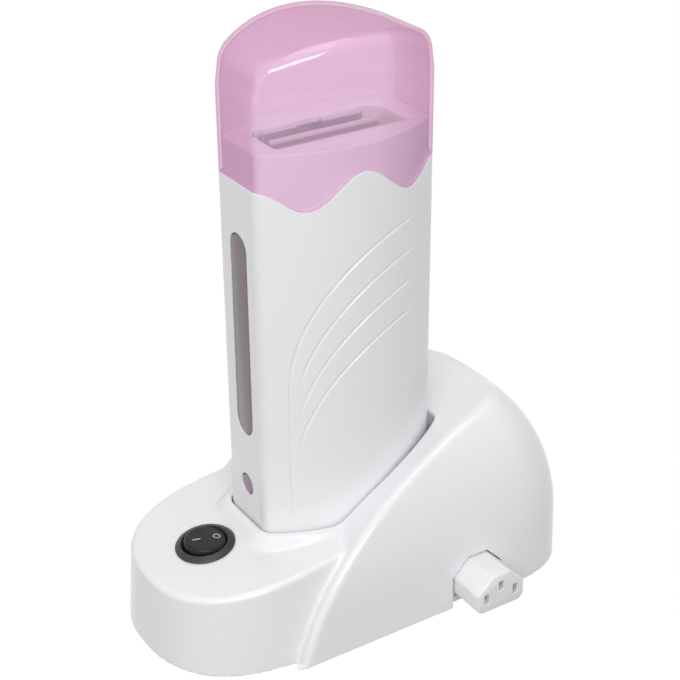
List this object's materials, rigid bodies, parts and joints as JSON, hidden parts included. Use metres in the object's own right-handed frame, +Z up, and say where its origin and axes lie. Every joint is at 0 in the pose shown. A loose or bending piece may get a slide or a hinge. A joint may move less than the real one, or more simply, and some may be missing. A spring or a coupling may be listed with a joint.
{
  "type": "roll-on wax heater",
  "caption": "Heater handle for roll-on wax cartridges, with a see-through cap, standing in the well of a docking base with a round rocker switch, an appliance inlet and an outlet.",
  "frame": {"origin": "on the surface that the base stands on, under the middle of the handle, at the mount rest_face", "axes": "+Z up along the handle, -X towards the toe with the switch, -Y towards the outlet's side"},
  "size_m": [0.183, 0.1126, 0.2367],
  "materials": {
    "base_shell": "glossy moulded ABS",
    "bottom_plate": "fine matt texture",
    "rubber_feet": "matt",
    "base_screws": "zinc plated",
    "switch_housing": "satin nylon",
    "switch_rocker": "glossy",
    "switch_terminals": "tinned brass",
    "outlet_body": "glossy",
    "outlet_contacts": "stamped brass",
    "inlet_body": "satin",
    "inlet_pins": "nickel-plated brass",
    "contact_block": "satin",
    "springs": "spring wire",
    "plungers": "turned brass",
    "base_wiring": "insulated wire",
    "handle_shell": "glossy moulded ABS",
    "end_plate": "satin",
    "handle_screws": "zinc plated",
    "contact_pads": "stamped brass",
    "cartridge_chamber": "heat-resistant nylon, satin",
    "heating_plate": "brushed sheet",
    "pressure_plate": "satin sheet",
    "ptc_heaters": "ceramic in film",
    "heater_clamp": "spring sheet",
    "thermostat": "moulded body",
    "thermal_fuse": "ceramic body",
    "lamp_board": "circuit board",
    "indicator_lamp": "clear red epoxy",
    "indicator_lens": "tinted polycarbonate",
    "window_lens": "smoke-tinted clear plastic",
    "handle_wiring": "insulated wire",
    "cap": "pink clear plastic"
  },
  "bodies": {
    "base": {"base_shell": "base_shell", "bottom_plate": "bottom_plate", "rubber_feet": "rubber_feet", "base_screws": "base_screws", "switch_housing": "switch_housing", "switch_terminals": "switch_terminals", "outlet_body": "outlet_body", "outlet_contacts": "outlet_contacts", "inlet_body": "inlet_body", "inlet_pins": "inlet_pins", "contact_block": "contact_block", "spring_front": "springs", "spring_rear": "springs", "base_wiring": "base_wiring"},
    "rocker": {"switch_rocker": "switch_rocker"},
    "front_plunger": {"plunger_front": "plungers"},
    "rear_plunger": {"plunger_rear": "plungers"},
    "handle": {"handle_shell": "handle_shell", "end_plate": "end_plate", "handle_screws": "handle_screws", "contact_pads": "contact_pads", "cartridge_chamber": "cartridge_chamber", "heating_plate": "heating_plate", "ptc_heaters": "ptc_heaters", "heater_clamp": "heater_clamp", "thermostat": "thermostat", "thermal_fuse": "thermal_fuse", "lamp_board": "lamp_board", "indicator_lamp": "indicator_lamp", "indicator_lens": "indicator_lens", "window_lens": "window_lens", "handle_wiring": "handle_wiring"},
    "presser": {"pressure_plate": "pressure_plate"},
    "cap": {"cap": "cap"}
  },
  "joints": [
    {"name": "handle_lift", "type": "slide", "parent": "base", "child": "handle", "axis": [0, 0, 1], "range_m": [0, 0.06]},
    {"name": "cap_lift", "type": "slide", "parent": "handle", "child": "cap", "axis": [0, 0, 1], "range_m": [0, 0.045]},
    {"name": "rocker_tilt", "type": "hinge", "parent": "base", "child": "rocker", "pos_m": [-0.058, 0, 0.03604], "axis": [0.2565, 0.9659, 0.0342], "range_deg": [-22, 0]},
    {"name": "front_plunger_sink", "type": "slide", "parent": "base", "child": "front_plunger", "axis": [0, 0, -1], "range_m": [0, 0.0015], "stiffness_N_per_m": 600, "springref_m": -0.0008, "deforming": ["spring_front"]},
    {"name": "rear_plunger_sink", "type": "slide", "parent": "base", "child": "rear_plunger", "axis": [0, 0, -1], "range_m": [0, 0.0015], "stiffness_N_per_m": 600, "springref_m": -0.0008, "deforming": ["spring_rear"]},
    {"name": "presser_swing", "type": "hinge", "parent": "handle", "child": "presser", "pos_m": [0, -0.0091, 0.118], "axis": [1, 0, 0], "range_deg": [0, 5.5], "stiffness_Nm_per_rad": 0.6, "springref_deg": -5.73}
  ]
}
